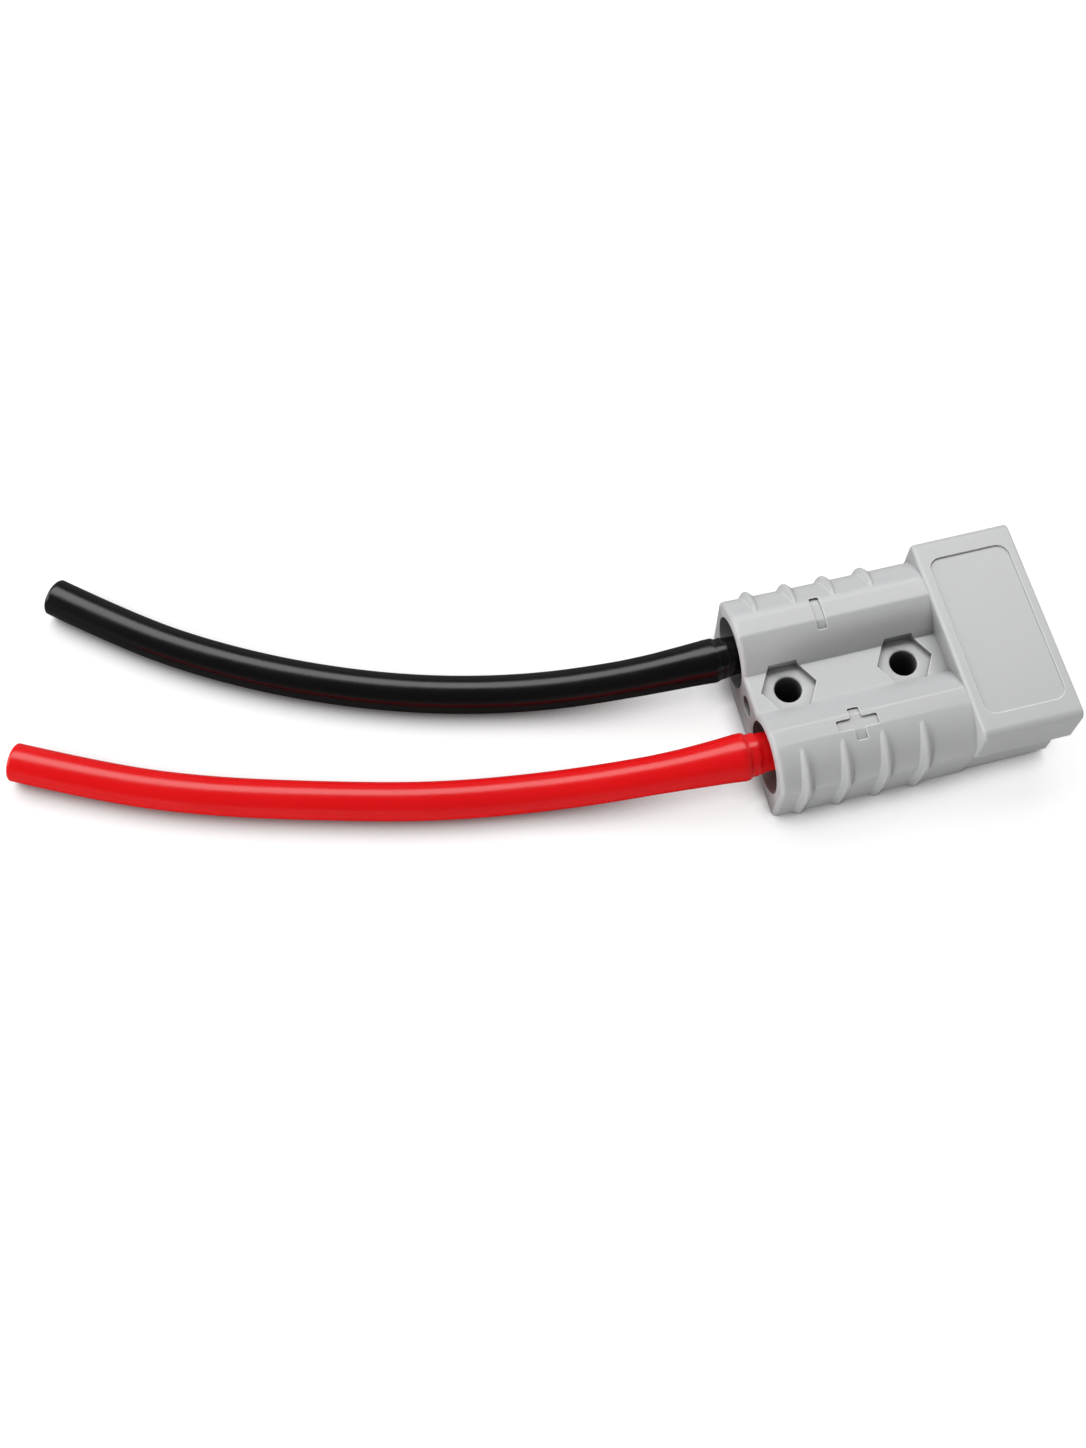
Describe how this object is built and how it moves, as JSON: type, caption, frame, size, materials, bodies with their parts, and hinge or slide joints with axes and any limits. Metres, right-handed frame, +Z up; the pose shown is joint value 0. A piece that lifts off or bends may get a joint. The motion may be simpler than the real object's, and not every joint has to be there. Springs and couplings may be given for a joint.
{
  "type": "genderless power connector",
  "caption": "Flat genderless power connector with two poles: ribbed barrels around a bolted web, a hood over the mating face, and cut red and black leads.",
  "frame": {"origin": "below the middle of the housing, on its flat underside", "axes": "+X towards the mating face, -Y towards the positive pole with the red lead, +Z up from the flat underside"},
  "size_m": [0.1667, 0.0697, 0.0158],
  "materials": {
    "housing": "satin moulded light grey plastic",
    "contact": "silver plated copper alloy",
    "spring": "spring steel",
    "insulation_red": "glossy soft red plastic",
    "insulation_black": "glossy soft black plastic",
    "conductor": "bare copper strands"
  },
  "bodies": {
    "root": {"housing": "housing", "contact_positive": "contact", "contact_negative": "contact", "spring_positive": "spring", "spring_negative": "spring", "insulation_positive": "insulation_red", "insulation_negative": "insulation_black", "conductor_positive": "conductor", "conductor_negative": "conductor"}
  },
  "joints": []
}
